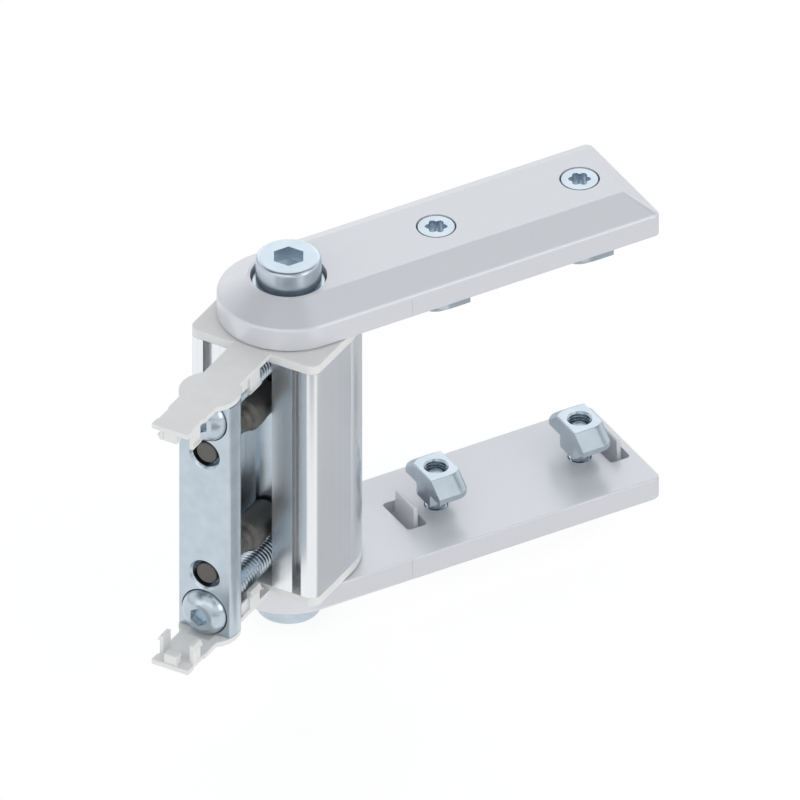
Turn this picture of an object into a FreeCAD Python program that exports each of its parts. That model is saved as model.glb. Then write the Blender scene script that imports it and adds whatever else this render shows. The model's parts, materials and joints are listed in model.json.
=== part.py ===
import FreeCAD, Part
import math
import os

# Profile pivot joint for profiles of 40 x 80 mm, in millimetres.
# The origin is the centre of the column's seat, the flat that a profile's end is drawn against.
# The profile comes from -Y, the pivot axis is vertical and lies behind the seat on +Y, +Z is up.
# Upper pieces are modelled first, and the lower ones are the same pieces turned over.

V = FreeCAD.Vector
X_AXIS = V(1, 0, 0)
Y_AXIS = V(0, 1, 0)
Z_AXIS = V(0, 0, 1)
HALF_TURN = 180.0
FULL_TURN = 360.0
PAST = 1.0                      # how far a cutting tool runs past the face that it leaves

# What the joint is made for
PROFILE_WIDTH = 40.0            # width of the profiles and of the column
PROFILE_HEIGHT = 80.0           # height of the profiles
CORE_INSET = 20.0               # profile's upper or lower side to its core bore
CORE_BORE = 10.0                # core bore that a locating pin enters

# Clearances
RUN = 0.05                      # radial clearance of a turning or threaded fit
SLIP = 0.1                      # clearance round a piece that is pushed in
ARM_FIT = 0.15                  # gap between an arm's inner face and the held profile
CAP_SET_BACK = 0.2              # end cap's outer face below the profile's
AXIAL_PLAY = 0.2                # play of an arm under its pivot washer
BUSH_GAP = 0.2                  # radial gap of a bush in the end cap
WASHER_GAP = 0.3                # radial gap of a pivot washer in the arm's recess
LOOSE = 0.3                     # gap round a screw in a plain hole, and under a cover strip
SEAT = 0.05                     # gap under a screw head that turns on its seat

# Column
CAP_THICKNESS = 2.8
PIVOT_DEPTH = 20.0              # seat to pivot axis
COLUMN_CORNER = 3.0
CHANNEL_MOUTH = 12.6
CHANNEL_LIP = 7.7               # depth of the channel's lips behind the seat
CHANNEL_INSIDE = 17.6           # width of the channel behind its lips
CHANNEL_DEPTH = 12.6
GROOVE_OFFSET = 14.0            # screw grooves either side of the channel
GROOVE_MOUTH = 2.7
GROOVE_RADIUS = 2.5
GROOVE_CENTRE = 4.4             # depth of the groove's round bottom
CORE_HOLE = 10.2                # column's own core hole, tapped at both ends
CHAMBER_INNER = 11.5            # hollow chambers round the core
COLUMN_WALL = 2.6
CHAMBER_FRONT = 10.5
CHAMBER_WEB_ANGLE = 8.0         # half angle of the web between the rear chambers
CHAMBER_SIDE_ANGLE = 6.0

# Pivot
PIVOT_THREAD = 12.0
PIVOT_TAP_DEPTH = 18.0
PIVOT_SCREW_LENGTH = 28.0
PIVOT_HEAD = 18.0
PIVOT_HEAD_HEIGHT = 8.0
PIVOT_HEAD_ROUND = 1.2
PIVOT_HEX = 8.0
PIVOT_HEX_DEPTH = 3.9
BUSH_OUTER = 16.0
WASHER_OUTER = 20.4
WASHER_THICKNESS = 3.0
BREAK = 0.3                     # small broken edge on turned pieces
THREAD_TIP = 1.0                # cone at the end of a screw

# Arms
ARM_REST_ANGLE = 60.0           # direction of the arms from +X, as in the photograph
ARM_WIDTH = 39.2
ARM_REACH = 105.7               # pivot axis to the arm's free end
ARM_THICKNESS = 11.8
ARM_SIDE = 6.8                  # height of the upright sides
ARM_FLAT = 22.6                 # width of the flat on the outer face, between the slopes
ARM_END_RUN = 7.1               # length of the slope at the free end
ARM_END_CORNER = 2.0
ARM_HIP_CORNER = 0.3            # corner of the flat where two slopes meet
ARM_SHOULDER_ROUND = 1.3
ARM_EDGE_ROUND = 0.4
ARM_WEB = 6.8                   # thickness left under the pivot recess
ARM_MARK = 27.5                 # pivot axis to the line that marks the profile's end
ARM_MARK_SIZE = 0.25
SCREW_NEAR = 46.3               # pivot axis to the near arm screw
SCREW_END_INSET = 14.4          # arm's free end to the far arm screw
LUG_OFFSET = 9.35               # lug from its screw, away from the other screw
POCKET_LENGTH = 6.3
POCKET_SHIFT = 0.5              # middle of the pocket from its lug, towards the pivot
POCKET_WIDTH = 14.3
POCKET_DEPTH = 4.0
POCKET_CORNER = 1.2
LUG_THICKNESS = 1.2
LUG_WIDTH = 10.7
LUG_TOP_WIDTH = 9.9
LUG_HEIGHT = 5.0                # above the arm's inner face
LUG_ROUND = 0.5

# Arm screws and T-nuts
ARM_THREAD = 6.0
ARM_SCREW_LENGTH = 22.0
ARM_HEAD = 10.1
ARM_HEAD_RIM = 0.3
ARM_HEAD_SINK = 0.1
ARM_HEAD_GAP = 0.5              # dark ring round the countersunk head
LOBE_SOCKET = 5.7               # lobed socket, over the tips
LOBE_ROOT = 4.1                 # and over the hollows
LOBE_TIP_RADIUS = 0.7
LOBE_DEPTH = 2.4
NUT_HEIGHT = 12.5               # top of the nut over the arm's inner face
NUT_LENGTH = 9.6
NUT_TOP_WIDTH = 11.2
NUT_WING_SPAN = 20.6
NUT_NECK_WIDTH = 9.8
NUT_SLOPE_HEIGHT = 3.6
NUT_WING_EDGE = 1.6
NUT_NECK_HEIGHT = 3.8
NUT_RUN = 3.8                   # rounded corners that let the nut swing a quarter turn
NUT_DROP = 2.0
NUT_NECK_ROUND = 3.4
NUT_MOUTH = 7.0
NUT_EDGE_ROUND = 0.35

# Draw bar, draw screws, locating pins and anchor bar
DRAW_BAR_RADIUS = 8.5
DRAW_BAR_OFFSET = 22.8          # seat to the axis of the draw bar
DRAW_BAR_FLAT = 2.9             # axis of the draw bar to its flat front
DRAW_BAR_ROUND = 0.4
DRAW_SCREW_INSET = 8.0          # profile's upper or lower side to a draw screw
DRAW_THREAD = 8.0
DRAW_SCREW_LENGTH = 35.0
DRAW_HEAD = 14.0
DRAW_HEAD_HEIGHT = 4.4
DRAW_HEAD_FACE = 8.0            # flat on top of the button head
DRAW_HEAD_WAIST = 12.3          # width of the dome part of the way up
DRAW_HEAD_WAIST_HEIGHT = 2.7
DRAW_HEX = 5.0
DRAW_HEX_TURN = 30.0
DRAW_HEX_DEPTH = 2.6
DRAW_RECESS = 1.2
DRAW_TRAVEL = 1.0               # how far the draw bar can be drawn in
PIN_HOLE = 8.2
PIN_HOLE_CHAMFER = 0.7
PIN_SEAT_LENGTH = 5.0           # length of the pin that fills the core bore
PIN_STEP = 7.7
PIN_STEP_LENGTH = 2.5
PIN_END = 6.4
PIN_CONE = 1.0
PIN_END_SINK = 1.0              # pin end behind the front of the draw bar
PIN_FIT = 0.05
PIN_SPIGOT = 6.0
PIN_NECK = 9.4                  # part of the pin inside the channel
ANCHOR_SLOT = 6.6
ANCHOR_SLOT_DEPTH = 1.2
ANCHOR_END_GAP = 0.5

# Cover strips
STRIP_THICKNESS = 1.5
STRIP_LENGTH = 44.6
STRIP_WIDTH = 11.4
STRIP_NOTCH = 0.4
STRIP_NOTCH_START = 35.6
STRIP_NOTCH_END = 41.5
STRIP_TONGUE_WIDTH = 8.0
STRIP_TONGUE = 4.0
STRIP_TONGUE_THICKNESS = 1.2
STRIP_TONGUE_DROP = 0.5
ROOT_LEG_START = 5.5
ROOT_LEG_END = 10.7
ROOT_LEG_HEIGHT = 5.6
ROOT_WEB_HEIGHT = 3.4
ROOT_WEB_SETBACK = 0.7
TIP_LEG_START = 36.9
TIP_LEG_END = 41.0
TIP_LEG_INSET = 0.5
TIP_LEG_HEIGHT = 5.7
LEG_THICKNESS = 1.1
BARB = 0.8
BARB_HEIGHT = 1.5
TIP_BLOCK_WIDTH = 3.9
TIP_BLOCK_LENGTH = 2.4
TIP_BLOCK_HEIGHT = 3.0

# Prongs of the end caps
PRONG_LENGTH = 6.0
PRONG_POINT = 1.5

# Places that follow from the sizes
HALF_WIDTH = PROFILE_WIDTH / 2
SCREW_FAR = ARM_REACH - SCREW_END_INSET
ARM_HALF = ARM_WIDTH / 2
CAP_OUTER_Z = PROFILE_HEIGHT / 2 - CAP_SET_BACK
COLUMN_Z = CAP_OUTER_Z - CAP_THICKNESS
PIVOT = V(0, PIVOT_DEPTH, 0)
ARM_Z = PROFILE_HEIGHT / 2 + ARM_FIT
WASHER_Z = ARM_Z + ARM_WEB + AXIAL_PLAY
HEAD_Z = WASHER_Z + WASHER_THICKNESS
DRAW_FRONT_Y = -DRAW_BAR_OFFSET - DRAW_BAR_FLAT
HEAD_BEARING_Y = DRAW_FRONT_Y + DRAW_RECESS - SEAT
DRAW_SCREW_Z = PROFILE_HEIGHT / 2 - DRAW_SCREW_INSET
PIN_Z = PROFILE_HEIGHT / 2 - CORE_INSET
STRIP_INNER_Z = CAP_OUTER_Z - STRIP_THICKNESS
WEB_X = STRIP_WIDTH / 2 - ROOT_WEB_SETBACK - LEG_THICKNESS / 2
BAR_BACK = math.sqrt(DRAW_BAR_RADIUS ** 2 - WEB_X ** 2)
WEB_END_Y = -DRAW_BAR_OFFSET + BAR_BACK + DRAW_TRAVEL + LOOSE
DRAW_BAR_Z = STRIP_INNER_Z - LOOSE
ANCHOR_FRONT_Y = CHANNEL_LIP + RUN
ANCHOR_BACK_Y = CHANNEL_DEPTH - RUN


def prism(points, low, high):
    """Upright prism on a closed outline of (x, y) points."""
    corners = [V(x, y, low) for x, y in points]
    outline = Part.makePolygon(corners + corners[:1])
    return Part.Face(outline).extrude(V(0, 0, high - low))


def block(x_low, x_high, y_low, y_high, z_low, z_high):
    size = V(x_high - x_low, y_high - y_low, z_high - z_low)
    return Part.makeBox(size.x, size.y, size.z, V(x_low, y_low, z_low))


def upright(radius, low, high, centre=V(0, 0, 0)):
    """Cylinder along Z between two heights."""
    return Part.makeCylinder(radius, high - low, V(centre.x, centre.y, low), Z_AXIS)


def lengthways(radius, start, end, z):
    """Cylinder along Y between two places, at a height on the middle plane."""
    return Part.makeCylinder(radius, end - start, V(0, start, z), Y_AXIS)


def turned(profile):
    """Solid turned about Z from (radius, height) points."""
    corners = [V(radius, 0, height) for radius, height in profile]
    outline = Part.makePolygon(corners + corners[:1])
    return Part.Face(outline).revolve(V(0, 0, 0), Z_AXIS, FULL_TURN)


def hexagon(across_flats, low, high, turn=0.0):
    """Upright hexagonal prism, with a corner on +X before it is turned."""
    corner = across_flats / 2 / math.cos(math.pi / 6)
    angles = [math.radians(turn) + step * math.pi / 3 for step in range(6)]
    points = [(corner * math.cos(angle), corner * math.sin(angle)) for angle in angles]
    return prism(points, low, high)


def turned_over(shape, axis):
    """The same piece, half a turn about a level axis through the origin."""
    copy = shape.copy()
    copy.rotate(V(0, 0, 0), axis, HALF_TURN)
    return copy


def pointing_back(shape, y, z):
    """Piece built along Z, laid along +Y with its own origin at a height on the middle plane."""
    copy = shape.copy()
    copy.rotate(V(0, 0, 0), X_AXIS, -HALF_TURN / 2)
    copy.translate(V(0, y, z))
    return copy


def level_edges(shape, height):
    """Edges that lie at one height."""
    boxes = [(edge, edge.BoundBox) for edge in shape.Edges]
    return [edge for edge, b in boxes
            if abs(b.ZMin - height) < 1e-6 and abs(b.ZMax - height) < 1e-6]


def d_outline(low, high):
    """Solid with the column's outline: flat seat, flat sides and a round back."""
    r = COLUMN_CORNER
    bend = r * (1 - math.sqrt(0.5))
    left, right = -HALF_WIDTH, HALF_WIDTH
    edges = [
        Part.makeLine(V(left + r, 0, low), V(right - r, 0, low)),
        Part.Arc(V(right - r, 0, low), V(right - bend, bend, low), V(right, r, low)).toShape(),
        Part.makeLine(V(right, r, low), V(right, PIVOT_DEPTH, low)),
        Part.Arc(V(right, PIVOT_DEPTH, low), V(0, PIVOT_DEPTH + HALF_WIDTH, low),
                 V(left, PIVOT_DEPTH, low)).toShape(),
        Part.makeLine(V(left, PIVOT_DEPTH, low), V(left, r, low)),
        Part.Arc(V(left, r, low), V(left + bend, bend, low), V(left + r, 0, low)).toShape(),
    ]
    return Part.Face(Part.Wire(edges)).extrude(V(0, 0, high - low))


def channel(low, high):
    """Open channel in the seat, wider behind its lips."""
    mouth = block(-CHANNEL_MOUTH / 2, CHANNEL_MOUTH / 2, -PAST, CHANNEL_DEPTH, low, high)
    inside = block(-CHANNEL_INSIDE / 2, CHANNEL_INSIDE / 2, CHANNEL_LIP, CHANNEL_DEPTH, low, high)
    return mouth.fuse(inside)


def groove(side, low, high):
    """Screw groove beside the channel, with a round bottom behind its mouth."""
    x = side * GROOVE_OFFSET
    half = GROOVE_MOUTH / 2
    mouth = block(x - half, x + half, -PAST, GROOVE_CENTRE, low, high)
    return mouth.fuse(upright(GROOVE_RADIUS, low, high, V(x, GROOVE_CENTRE, 0)))


def rear_chamber(side, low, high):
    """Hollow chamber between the core and the round back."""
    outer = upright(HALF_WIDTH - COLUMN_WALL, low, high, PIVOT)
    ring = outer.cut(upright(CHAMBER_INNER, low, high, PIVOT))
    start = math.radians(CHAMBER_SIDE_ANGLE)
    end = math.pi / 2 - math.radians(CHAMBER_WEB_ANGLE)
    far = PROFILE_WIDTH
    rays = [(side * far * math.cos(a), far * math.sin(a)) for a in (start, end)]
    wedge = prism([(0, 0)] + rays, low, high)
    wedge.translate(PIVOT)
    return ring.common(wedge)


def side_chamber(side, low, high, gap=0.0):
    """Hollow chamber beside the core, or the prong that fits it when a gap is given."""
    inner = side * (CHAMBER_INNER + gap)
    outer = side * (HALF_WIDTH - COLUMN_WALL - gap)
    back = PIVOT_DEPTH - COLUMN_WALL / 2 - gap
    return block(min(inner, outer), max(inner, outer), CHAMBER_FRONT + gap, back, low, high)


def column_profile():
    low, high = -COLUMN_Z, COLUMN_Z
    below, above = low - PAST, high + PAST
    body = d_outline(low, high).cut(channel(below, above))
    for side in (-1, 1):
        body = body.cut(groove(side, below, above))
        body = body.cut(rear_chamber(side, below, above))
        body = body.cut(side_chamber(side, below, above))
    body = body.cut(upright(CORE_HOLE / 2, below, above, PIVOT))
    tapped = PIVOT_THREAD / 2 + RUN
    body = body.cut(upright(tapped, high - PIVOT_TAP_DEPTH, above, PIVOT))
    return body.cut(upright(tapped, below, low + PIVOT_TAP_DEPTH, PIVOT))


def cap_prong(side):
    """Chamfered prong that holds the cap in a side chamber."""
    low = COLUMN_Z - PRONG_LENGTH
    prong = side_chamber(side, low, COLUMN_Z, SLIP)
    return prong.makeChamfer(PRONG_POINT, level_edges(prong, low))


def end_cap():
    cap = d_outline(COLUMN_Z, CAP_OUTER_Z)
    for side in (-1, 1):
        cap = cap.fuse(cap_prong(side))
    cap = cap.removeSplitter()
    cap = cap.makeFillet(BREAK, level_edges(cap, CAP_OUTER_Z))
    hole = upright(BUSH_OUTER / 2 + BUSH_GAP, COLUMN_Z - PAST, CAP_OUTER_Z + PAST, PIVOT)
    half = STRIP_TONGUE_WIDTH / 2 + SLIP
    low = STRIP_INNER_Z - STRIP_TONGUE_DROP
    slot = block(-half, half, -PAST, STRIP_TONGUE + LOOSE,
                 low - SLIP / 2, low + STRIP_TONGUE_THICKNESS + SLIP / 2)
    return cap.cut(hole).cut(slot)


def barbed_leg(side, outer, start, end, height):
    """Leg that snaps into a profile's groove, with a barb at its end that points outwards."""
    top = STRIP_INNER_Z
    foot = top - height
    section = [(outer, top), (outer, foot + BARB_HEIGHT), (outer + BARB, foot + BARB_HEIGHT),
               (outer, foot), (outer - LEG_THICKNESS, foot), (outer - LEG_THICKNESS, top)]
    corners = [V(side * x, -end, z) for x, z in section]
    outline = Part.makePolygon(corners + corners[:1])
    return Part.Face(outline).extrude(V(0, end - start, 0))


def cover_strip():
    """Strip that closes the profile's groove, with a lobe over the draw bar and its screw head."""
    low, high = STRIP_INNER_Z, CAP_OUTER_Z
    half = STRIP_WIDTH / 2
    plate = block(-half, half, -STRIP_LENGTH, 0, low, high)
    for side in (-1, 1):
        edge = side * (half - STRIP_NOTCH)
        past = side * (half + PAST)
        plate = plate.cut(block(min(edge, past), max(edge, past), -STRIP_NOTCH_END,
                                -STRIP_NOTCH_START, low, high))
    plate = plate.fuse(upright(DRAW_BAR_RADIUS, low, high, V(0, -DRAW_BAR_OFFSET, 0)))
    relief = lengthways(DRAW_HEAD / 2 + LOOSE, HEAD_BEARING_Y - DRAW_HEAD_HEIGHT - LOOSE,
                        HEAD_BEARING_Y + DRAW_TRAVEL + LOOSE, DRAW_SCREW_Z)
    plate = plate.cut(relief)
    tongue_low = low - STRIP_TONGUE_DROP
    tongue_half = STRIP_TONGUE_WIDTH / 2
    tongue = block(-tongue_half, tongue_half, -STRIP_TONGUE / 2, STRIP_TONGUE,
                   tongue_low, tongue_low + STRIP_TONGUE_THICKNESS)
    strip = plate.fuse(tongue)
    for side in (-1, 1):
        strip = strip.fuse(barbed_leg(side, half, ROOT_LEG_START, ROOT_LEG_END, ROOT_LEG_HEIGHT))
        web = sorted((side * WEB_X, side * (WEB_X + LEG_THICKNESS / 2)))
        strip = strip.fuse(block(web[0], web[1], WEB_END_Y, -ROOT_LEG_START,
                                 low - ROOT_WEB_HEIGHT, low))
        strip = strip.fuse(barbed_leg(side, half - TIP_LEG_INSET, TIP_LEG_START, TIP_LEG_END,
                                      TIP_LEG_HEIGHT))
    tip = block(-TIP_BLOCK_WIDTH / 2, TIP_BLOCK_WIDTH / 2, -STRIP_LENGTH + BREAK,
                -STRIP_LENGTH + BREAK + TIP_BLOCK_LENGTH, low - TIP_BLOCK_HEIGHT, low)
    return strip.fuse(tip).removeSplitter()


def pivot_bush():
    bore = PIVOT_THREAD / 2 + BUSH_GAP
    outer = BUSH_OUTER / 2
    low, high = COLUMN_Z, WASHER_Z
    profile = [(bore, low), (outer - BREAK, low), (outer, low + BREAK),
               (outer, high - BREAK), (outer - BREAK, high), (bore, high)]
    bush = turned(profile)
    bush.translate(PIVOT)
    return bush


def pivot_washer():
    bore = PIVOT_THREAD / 2 + BUSH_GAP
    outer = WASHER_OUTER / 2
    profile = [(bore, WASHER_Z), (outer - BREAK, WASHER_Z), (outer, WASHER_Z + BREAK),
               (outer, HEAD_Z - BREAK), (outer - BREAK, HEAD_Z), (bore, HEAD_Z)]
    washer = turned(profile)
    washer.translate(PIVOT)
    return washer


def pivot_screw():
    """Low head screw with a hexagonal socket, a rounded top edge and a full shank."""
    top = HEAD_Z + PIVOT_HEAD_HEIGHT
    end = HEAD_Z - PIVOT_SCREW_LENGTH
    shank = PIVOT_THREAD / 2
    head = upright(PIVOT_HEAD / 2, HEAD_Z, top)
    head = head.makeFillet(PIVOT_HEAD_ROUND, level_edges(head, top))
    body = turned([(0, end), (shank - THREAD_TIP, end), (shank, end + THREAD_TIP),
                   (shank, HEAD_Z), (0, HEAD_Z)])
    socket = hexagon(PIVOT_HEX, top - PIVOT_HEX_DEPTH, top + PAST)
    screw = body.fuse(head).removeSplitter().cut(socket)
    screw.translate(PIVOT)
    return screw


def arm_outline(half, reach, corner, z):
    """Outline of the arm about the pivot: a round end, straight sides and a square free end."""
    bend = corner * (1 - math.sqrt(0.5))
    x, y = reach - corner, half - corner
    return Part.Wire([
        Part.Arc(V(0, half, z), V(-half, 0, z), V(0, -half, z)).toShape(),
        Part.makeLine(V(0, -half, z), V(x, -half, z)),
        Part.Arc(V(x, -half, z), V(reach - bend, bend - half, z), V(reach, -y, z)).toShape(),
        Part.makeLine(V(reach, -y, z), V(reach, y, z)),
        Part.Arc(V(reach, y, z), V(reach - bend, half - bend, z), V(x, half, z)).toShape(),
        Part.makeLine(V(x, half, z), V(0, half, z)),
    ])


def rounded_arm():
    """Arm in its face frame: pivot at the origin, inner face at zero, hipped face below."""
    shoulder = arm_outline(ARM_HALF, ARM_REACH, ARM_END_CORNER, -ARM_SIDE)
    flat = arm_outline(ARM_FLAT / 2, ARM_REACH - ARM_END_RUN, ARM_HIP_CORNER, -ARM_THICKNESS)
    hip = Part.makeLoft([shoulder, flat], True, True)
    body = Part.Face(shoulder).extrude(V(0, 0, ARM_SIDE)).fuse(hip)
    body = body.makeFillet(ARM_SHOULDER_ROUND, level_edges(body, -ARM_SIDE))
    return body.makeFillet(ARM_EDGE_ROUND, level_edges(body, 0))


def lug(x):
    """Upright anti-turn lug that stands in its pocket and enters the profile's slot."""
    foot, top = LUG_WIDTH / 2, LUG_TOP_WIDTH / 2
    section = [(-foot, -POCKET_DEPTH - SLIP), (foot, -POCKET_DEPTH - SLIP), (top, LUG_HEIGHT),
               (-top, LUG_HEIGHT)]
    start = x - LUG_THICKNESS / 2
    corners = [V(start, y, z) for y, z in section]
    blade = Part.Face(Part.makePolygon(corners + corners[:1])).extrude(V(LUG_THICKNESS, 0, 0))
    return blade.makeFillet(LUG_ROUND, level_edges(blade, LUG_HEIGHT))


def pocket(x):
    """Pocket that a lug stands in, with round corners."""
    half_length, half_width = POCKET_LENGTH / 2, POCKET_WIDTH / 2
    middle = x - POCKET_SHIFT
    hollow = block(middle - half_length, middle + half_length, -half_width, half_width,
                   -POCKET_DEPTH, PAST)
    corners = [edge for edge in hollow.Edges if edge.BoundBox.ZLength > POCKET_DEPTH]
    return hollow.makeFillet(POCKET_CORNER, corners)


def screw_hole(x):
    """Clearance hole with a countersink and a short straight rim on the outer face."""
    hole = ARM_THREAD / 2 + LOOSE
    rim = ARM_HEAD / 2 + ARM_HEAD_GAP
    seat = ARM_HEAD / 2 + SLIP
    rim_z = -ARM_THICKNESS + ARM_HEAD_SINK + ARM_HEAD_RIM
    profile = [(0, PAST), (hole, PAST), (hole, rim_z + seat - hole), (seat, rim_z),
               (rim, rim_z), (rim, -ARM_THICKNESS - PAST), (0, -ARM_THICKNESS - PAST)]
    cutter = turned(profile)
    cutter.translate(V(x, 0, 0))
    return cutter


def end_mark(side):
    """Fine line on an upright side, at the place of the profile's end."""
    inner = side * (ARM_HALF - ARM_MARK_SIZE / 2)
    outer = side * (ARM_HALF + PAST)
    half = ARM_MARK_SIZE / 2
    return block(ARM_MARK - half, ARM_MARK + half, min(inner, outer), max(inner, outer),
                 -ARM_SIDE + ARM_SHOULDER_ROUND, PAST)


def arm():
    body = rounded_arm()
    recess = WASHER_OUTER / 2 + WASHER_GAP
    bore = BUSH_OUTER / 2 + RUN
    body = body.cut(upright(bore, -ARM_THICKNESS - PAST, PAST))
    body = body.cut(upright(recess, -ARM_THICKNESS - PAST, -ARM_WEB))
    for x in (SCREW_NEAR, SCREW_FAR):
        body = body.cut(screw_hole(x))
    for x in (SCREW_NEAR - LUG_OFFSET, SCREW_FAR + LUG_OFFSET):
        body = body.cut(pocket(x)).fuse(lug(x))
    for side in (-1, 1):
        body = body.cut(end_mark(side))
    return body.removeSplitter()


def lobed_socket(depth, face):
    """Six-lobed socket: a round core with six round tips."""
    socket = upright(LOBE_ROOT / 2, face, face + depth)
    reach = LOBE_SOCKET / 2 - LOBE_TIP_RADIUS
    for step in range(6):
        angle = step * math.pi / 3
        tip = V(reach * math.cos(angle), reach * math.sin(angle), 0)
        socket = socket.fuse(upright(LOBE_TIP_RADIUS, face, face + depth, tip))
        socket = socket.fuse(lobe_flank(angle, reach, face, depth))
    return socket.removeSplitter()


def lobe_flank(angle, reach, face, depth):
    """Block that joins a lobe's tip to the socket's core."""
    flank = block(0, reach, -LOBE_TIP_RADIUS, LOBE_TIP_RADIUS, face, face + depth)
    flank.rotate(V(0, 0, 0), Z_AXIS, math.degrees(angle))
    return flank


def arm_screw():
    """Countersunk screw in the arm's face frame, head outside."""
    top = -ARM_THICKNESS + ARM_HEAD_SINK
    rim_z = top + ARM_HEAD_RIM
    head, shank = ARM_HEAD / 2, ARM_THREAD / 2
    end = top + ARM_SCREW_LENGTH
    profile = [(0, top), (head, top), (head, rim_z), (shank, rim_z + head - shank),
               (shank, end - THREAD_TIP), (shank - THREAD_TIP, end), (0, end)]
    return turned(profile).cut(lobed_socket(LOBE_DEPTH, top))


def nut_outline(half_length, half_width, run, drop, z):
    """Rectangle with two opposite corners rounded off, so that the nut can swing one way."""
    radius = (run * run + drop * drop) / (2 * drop)
    bend = math.atan2(drop, run)
    start = V(half_length - run, -half_width, z)
    middle = start + V(radius * math.sin(bend), radius * (1 - math.cos(bend)), 0)
    end = V(half_length, -half_width + drop, z)
    half = [start, middle, end]
    back = [V(-p.x, -p.y, p.z) for p in half]
    return Part.Wire([
        Part.makeLine(V(-half_length, -half_width, z), start),
        Part.Arc(start, middle, end).toShape(),
        Part.makeLine(end, V(half_length, half_width, z)),
        Part.makeLine(V(half_length, half_width, z), back[0]),
        Part.Arc(back[0], back[1], back[2]).toShape(),
        Part.makeLine(back[2], V(-half_length, -half_width, z)),
    ])


def t_nut():
    """Swivel-in nut in the arm's face frame, standing off the inner face."""
    half = NUT_LENGTH / 2
    slope_z = NUT_HEIGHT - NUT_SLOPE_HEIGHT
    wing_z = slope_z - NUT_WING_EDGE
    neck_z = wing_z - NUT_NECK_HEIGHT
    wing = nut_outline(half, NUT_WING_SPAN / 2, NUT_RUN, NUT_DROP, wing_z)
    wing_top = nut_outline(half, NUT_WING_SPAN / 2, NUT_RUN, NUT_DROP, slope_z)
    top = nut_outline(half, NUT_TOP_WIDTH / 2, NUT_RUN, NUT_DROP, NUT_HEIGHT)
    neck = nut_outline(half, NUT_NECK_WIDTH / 2, NUT_NECK_ROUND, NUT_NECK_ROUND, neck_z)
    body = Part.makeLoft([wing_top, top], True, True)
    body = body.fuse(Part.Face(wing).extrude(V(0, 0, NUT_WING_EDGE)))
    body = body.fuse(Part.Face(neck).extrude(V(0, 0, NUT_NECK_HEIGHT)))
    body = body.removeSplitter()
    rim = level_edges(body, NUT_HEIGHT)
    body = body.makeFillet(NUT_EDGE_ROUND, rim)
    bore = ARM_THREAD / 2 + RUN
    mouth = NUT_MOUTH / 2
    profile = [(0, neck_z - PAST), (bore, neck_z - PAST), (bore, NUT_HEIGHT - mouth + bore),
               (mouth, NUT_HEIGHT), (mouth, NUT_HEIGHT + PAST), (0, NUT_HEIGHT + PAST)]
    return body.cut(turned(profile))


def on_arm(shape, side, x=0.0):
    """Place a piece from the arm's face frame on the upper or the lower arm at rest."""
    copy = shape.copy()
    copy.translate(V(x, 0, 0))
    if side > 0:
        copy = turned_over(copy, X_AXIS)
    copy.translate(V(0, 0, side * ARM_Z))
    copy.rotate(V(0, 0, 0), Z_AXIS, ARM_REST_ANGLE)
    copy.translate(PIVOT)
    return copy


def draw_bar():
    """Round bar with a flat front, recessed for the screw heads and bored for the pins."""
    centre = V(0, -DRAW_BAR_OFFSET, 0)
    bar = upright(DRAW_BAR_RADIUS, -DRAW_BAR_Z, DRAW_BAR_Z, centre)
    reach = 2 * DRAW_BAR_RADIUS
    bar = bar.cut(block(-reach, reach, DRAW_FRONT_Y - reach, DRAW_FRONT_Y, -DRAW_BAR_Z - PAST,
                        DRAW_BAR_Z + PAST))
    edges = [edge for edge in bar.Edges
             if edge.BoundBox.ZLength > DRAW_BAR_Z and edge.BoundBox.YMax < DRAW_FRONT_Y + 1e-6]
    bar = bar.makeFillet(DRAW_BAR_ROUND, edges)
    back = -DRAW_BAR_OFFSET + DRAW_BAR_RADIUS + PAST
    for side in (-1, 1):
        z = side * DRAW_SCREW_Z
        recess = DRAW_HEAD / 2 + SLIP
        bar = bar.cut(lengthways(recess, DRAW_FRONT_Y - PAST, DRAW_FRONT_Y + DRAW_RECESS, z))
        bar = bar.cut(lengthways(DRAW_THREAD / 2 + LOOSE, DRAW_FRONT_Y - PAST, back, z))
        z = side * PIN_Z
        bar = bar.cut(lengthways(PIN_HOLE / 2, DRAW_FRONT_Y - PAST, back, z))
        mouth = Part.makeCone(PIN_HOLE / 2 + PIN_HOLE_CHAMFER, PIN_HOLE / 2, PIN_HOLE_CHAMFER,
                              V(0, DRAW_FRONT_Y, z), Y_AXIS)
        bar = bar.cut(mouth)
    return bar


def draw_screw(z):
    """Button head screw with its bearing face at zero before it is laid along +Y."""
    shank = DRAW_THREAD / 2
    rim, face = DRAW_HEAD / 2, DRAW_HEAD_FACE / 2
    height = DRAW_HEAD_HEIGHT
    middle = V(DRAW_HEAD_WAIST / 2, 0, -DRAW_HEAD_WAIST_HEIGHT)
    edges = [
        Part.makeLine(V(0, 0, 0), V(rim, 0, 0)),
        Part.makeLine(V(rim, 0, 0), V(rim, 0, -BREAK)),
        Part.Arc(V(rim, 0, -BREAK), middle, V(face, 0, -height)).toShape(),
        Part.makeLine(V(face, 0, -height), V(0, 0, -height)),
        Part.makeLine(V(0, 0, -height), V(0, 0, 0)),
    ]
    head = Part.Face(Part.Wire(edges)).revolve(V(0, 0, 0), Z_AXIS, FULL_TURN)
    end = DRAW_SCREW_LENGTH
    body = turned([(0, 0), (shank, 0), (shank, end - THREAD_TIP), (shank - THREAD_TIP, end), (0, end)])
    socket = hexagon(DRAW_HEX, -height - PAST, -height + DRAW_HEX_DEPTH, DRAW_HEX_TURN)
    screw = head.fuse(body).removeSplitter().cut(socket)
    return pointing_back(screw, HEAD_BEARING_Y, z)


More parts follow.
